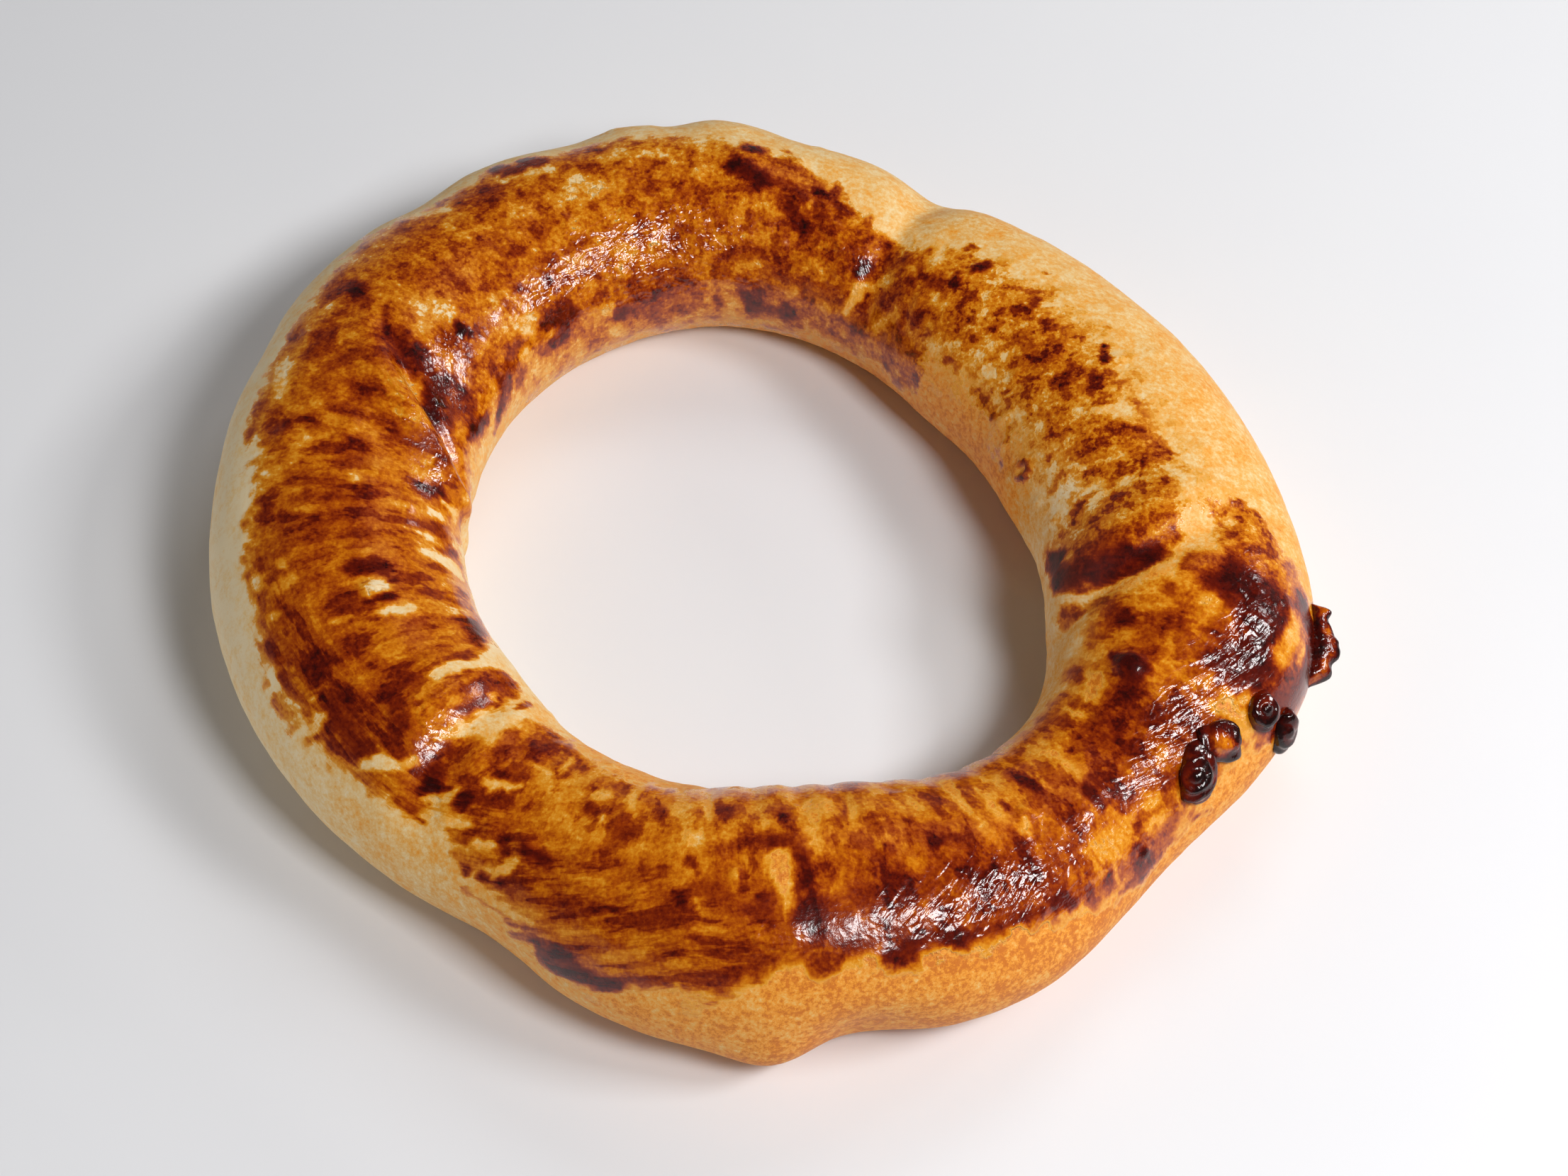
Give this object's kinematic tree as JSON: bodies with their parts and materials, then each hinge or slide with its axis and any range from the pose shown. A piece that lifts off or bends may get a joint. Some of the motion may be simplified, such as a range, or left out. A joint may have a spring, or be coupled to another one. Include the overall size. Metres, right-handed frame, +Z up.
{
  "type": "cheese bread ring",
  "caption": "Baked ring of filled cheese bread: an uneven rope of dough closed on itself, with a glossy browned crust, a pinched fold and burnt cheese at the join.",
  "frame": {"origin": "centre of the ring's box, on the flat base", "axes": "+Z up out of the ring, +Y towards the back of the ring, +X towards the join with the burnt cheese"},
  "size_m": [0.2036, 0.2052, 0.0401],
  "materials": {
    "crust": "baked crust, egg washed and glossy brown on top, pale and matte at the sides"
  },
  "bodies": {
    "root": {"bread_ring": "crust"}
  },
  "joints": []
}
